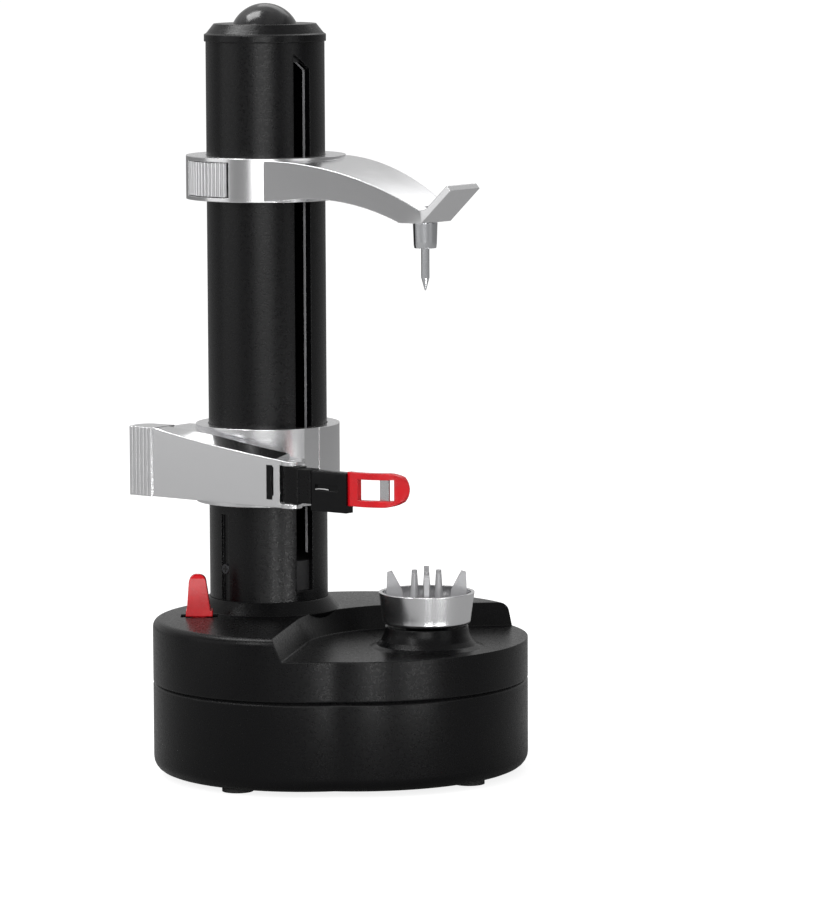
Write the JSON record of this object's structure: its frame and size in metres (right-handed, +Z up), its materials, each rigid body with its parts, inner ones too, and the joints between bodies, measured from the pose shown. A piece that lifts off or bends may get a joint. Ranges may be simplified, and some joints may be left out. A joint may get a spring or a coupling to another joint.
{
  "type": "electric potato peeler",
  "caption": "Upright electric peeler: round base with a turntable, slotted column, swinging blade arm and a height-adjustable spike arm.",
  "frame": {"origin": "on the floor, under the middle of the peeler's box", "axes": "+Z up, -Y towards the user, +X to the turntable's side"},
  "size_m": [0.1552, 0.1325, 0.2985],
  "materials": {
    "black_housing": "fine-grained black moulding, low gloss",
    "black_column": "drawn black tube, soft sheen",
    "gloss_black": "polished black",
    "inner_black": "unpainted black moulding",
    "inner_plastic": "natural acetal",
    "silver_satin": "satin silver lacquer",
    "chrome": "bright chrome plate",
    "blade_steel": "ground edge",
    "screw_steel": "zinc plated",
    "motor_can": "drawn can",
    "brass": "turned",
    "red_plastic": "tinted glossy red",
    "rubber": "matte"
  },
  "bodies": {
    "root": {"base_upper_housing": "black_housing", "base_lower_housing": "black_housing", "rubber_feet": "rubber", "housing_screws": "screw_steel", "gear_plate": "inner_plastic", "plate_screws": "screw_steel", "gear_axles": "screw_steel", "motor": "motor_can", "dc_jack": "gloss_black", "switch_body": "inner_black", "lever_pin": "screw_steel", "column_tube": "black_column", "column_screw": "screw_steel", "screw_bottom_bush": "inner_black", "screw_top_bush": "inner_black", "column_cap": "black_housing", "cap_dome": "gloss_black", "turntable_bush": "inner_plastic"},
    "turntable": {"turntable_cup": "silver_satin", "turntable_fins": "silver_satin", "turntable_pegs": "chrome", "turntable_shaft": "screw_steel", "turntable_gear": "inner_plastic"},
    "idler": {"idler_gear": "inner_plastic"},
    "screw": {"lead_screw": "inner_black", "screw_gear": "inner_plastic"},
    "second_reduction": {"reduction_gear_two": "inner_plastic"},
    "first_reduction": {"reduction_gear_one": "inner_plastic"},
    "rotor": {"motor_shaft": "screw_steel", "motor_pinion": "brass"},
    "carriage": {"nut_carrier": "inner_black", "half_nut": "inner_plastic"},
    "peeling_arm": {"peeling_arm": "silver_satin", "arm_swing_spring": "screw_steel", "blade_pivot_pin": "screw_steel"},
    "blade_holder": {"blade_holder_block": "black_housing", "blade_holder": "gloss_black", "blade_guard": "red_plastic", "blade": "blade_steel"},
    "top_arm": {"top_arm": "silver_satin", "release_springs": "screw_steel", "spike_bush": "inner_plastic"},
    "release": {"release_button": "silver_satin", "lock_plate": "screw_steel"},
    "spike": {"spike_sleeve": "chrome", "spike_tip": "chrome", "spike_clip": "screw_steel"},
    "lever": {"power_lever": "red_plastic"}
  },
  "joints": [
    {"name": "turntable_spin", "type": "hinge", "parent": "root", "child": "turntable", "pos_m": [0.038, -0.026, 0.045], "axis": [0, 0, 1], "continuous": true},
    {"name": "idler_spin", "type": "hinge", "parent": "root", "child": "idler", "pos_m": [0.00868, -0.00028, 0.045], "axis": [0, 0, 1], "continuous": true},
    {"name": "lead_screw_spin", "type": "hinge", "parent": "root", "child": "screw", "pos_m": [-0.024, 0.021, 0.045], "axis": [0, 0, 1], "continuous": true},
    {"name": "second_reduction_spin", "type": "hinge", "parent": "root", "child": "second_reduction", "pos_m": [-0.00702, -0.021, 0.045], "axis": [0, 0, 1], "continuous": true},
    {"name": "first_reduction_spin", "type": "hinge", "parent": "root", "child": "first_reduction", "pos_m": [-0.02958, -0.01279, 0.045], "axis": [0, 0, 1], "continuous": true},
    {"name": "motor_spin", "type": "hinge", "parent": "root", "child": "rotor", "pos_m": [-0.01876, -0.03422, 0.045], "axis": [0, 0, 1], "continuous": true},
    {"name": "carriage_slide", "type": "slide", "parent": "root", "child": "carriage", "axis": [0, 0, 1], "range_m": [-0.025, 0.05]},
    {"name": "peeling_arm_swing", "type": "hinge", "parent": "carriage", "child": "peeling_arm", "pos_m": [-0.024, 0.021, 0.119], "axis": [0, 0, 1], "range_deg": [-45, 14]},
    {"name": "blade_pivot", "type": "hinge", "parent": "peeling_arm", "child": "blade_holder", "pos_m": [-0.01349, -0.03465, 0.117], "axis": [0, 0, 1], "range_deg": [-12, 12]},
    {"name": "top_arm_slide", "type": "slide", "parent": "root", "child": "top_arm", "axis": [0, 0, 1], "range_m": [-0.03, 0.043]},
    {"name": "top_arm_release", "type": "slide", "parent": "top_arm", "child": "release", "axis": [0.7656, 0.6433, 0], "range_m": [0, 0.002], "stiffness_N_per_m": 500},
    {"name": "spike_spin", "type": "hinge", "parent": "top_arm", "child": "spike", "pos_m": [0.038, -0.026, 0.21], "axis": [0, 0, 1], "continuous": true},
    {"name": "power_lever_tilt", "type": "hinge", "parent": "root", "child": "lever", "pos_m": [-0.0505, -0.003, 0.055], "axis": [0, -1, 0], "range_deg": [0, 12]}
  ],
  "couplings": [
    {"joint": "idler_spin", "follows": "turntable_spin", "ratio": -0.95},
    {"joint": "lead_screw_spin", "follows": "turntable_spin", "ratio": 1},
    {"joint": "second_reduction_spin", "follows": "turntable_spin", "ratio": 3.1667},
    {"joint": "first_reduction_spin", "follows": "turntable_spin", "ratio": -12.667},
    {"joint": "motor_spin", "follows": "turntable_spin", "ratio": 50.667}
  ]
}
